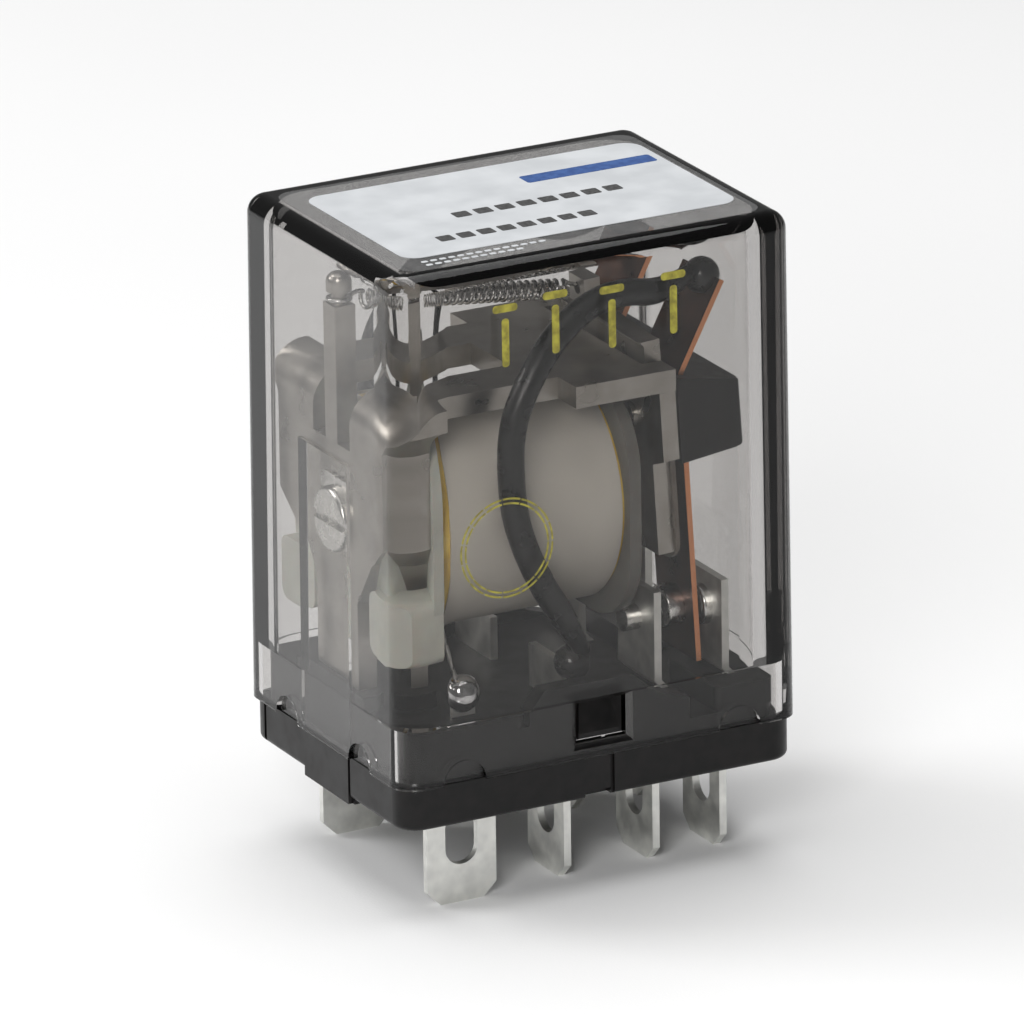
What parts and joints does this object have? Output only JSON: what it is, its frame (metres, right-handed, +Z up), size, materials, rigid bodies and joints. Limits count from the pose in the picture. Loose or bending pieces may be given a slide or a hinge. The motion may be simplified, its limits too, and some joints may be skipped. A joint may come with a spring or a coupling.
{
  "type": "plug-in relay",
  "caption": "Plug-in relay with a clear cover, a coil on a steel frame, a hinged armature that moves contact arms, and flat blade terminals.",
  "frame": {"origin": "centre of the base's underside, the seating face", "axes": "+Z up out of the socket, +X along the long side from the coil end to the contact end, -Y front"},
  "size_m": [0.028, 0.0214, 0.0421],
  "materials": {
    "base_moulding": "satin moulded phenolic",
    "clear_cover": "clear smoky gloss",
    "label_film": "thin printed film",
    "plated_frame": "dull plating",
    "core_iron": "turned",
    "screw_steel": "plated",
    "copper": "bright",
    "bobbin_moulding": "satin moulded",
    "yellow_film": "gloss film",
    "white_tape": "woven adhesive tape",
    "spring_wire": "drawn wire",
    "tinned_blade": "dull tin plate",
    "contact_silver": "satin silver",
    "solder": "glossy solder",
    "lead_sleeve": "soft sheen",
    "arm_copper": "rolled strip",
    "sheet": "thin sheet",
    "block_moulding": "satin moulded"
  },
  "bodies": {
    "housing": {"base": "base_moulding", "cover": "clear_cover", "label": "label_film", "yoke": "plated_frame", "core": "core_iron", "core_screw": "screw_steel", "core_washer": "screw_steel", "shading_ring": "copper", "bobbin": "bobbin_moulding", "coil_winding": "copper", "insulating_film": "yellow_film", "coil_tape": "white_tape", "coil_blade_front": "tinned_blade", "coil_blade_back": "tinned_blade", "common_blade_front": "tinned_blade", "common_blade_back": "tinned_blade", "open_blade_front": "tinned_blade", "open_blade_back": "tinned_blade", "closed_blade_front": "tinned_blade", "closed_blade_back": "tinned_blade", "open_contact_front": "contact_silver", "open_contact_back": "contact_silver", "closed_contact_front": "contact_silver", "closed_contact_back": "contact_silver", "coil_lead_front": "copper", "coil_lead_back": "copper", "coil_joint_front": "solder", "coil_joint_back": "solder", "foot_joint_front": "solder", "foot_joint_back": "solder", "pigtail_front": "lead_sleeve", "pigtail_back": "lead_sleeve", "return_spring": "spring_wire"},
    "armature_assembly": {"armature": "plated_frame", "insulating_sheet": "sheet", "insulator_block": "block_moulding", "block_rivets": "screw_steel", "moving_arm_front": "arm_copper", "moving_arm_back": "arm_copper", "moving_contact_front": "contact_silver", "moving_contact_back": "contact_silver", "arm_joint_front": "solder", "arm_joint_back": "solder"}
  },
  "joints": [
    {"name": "armature_hinge", "type": "hinge", "parent": "housing", "child": "armature_assembly", "pos_m": [0.006, 0, 0.0249], "axis": [0, 1, 0], "range_deg": [0, 3], "deforming": ["return_spring", "pigtail_front", "pigtail_back"]}
  ]
}
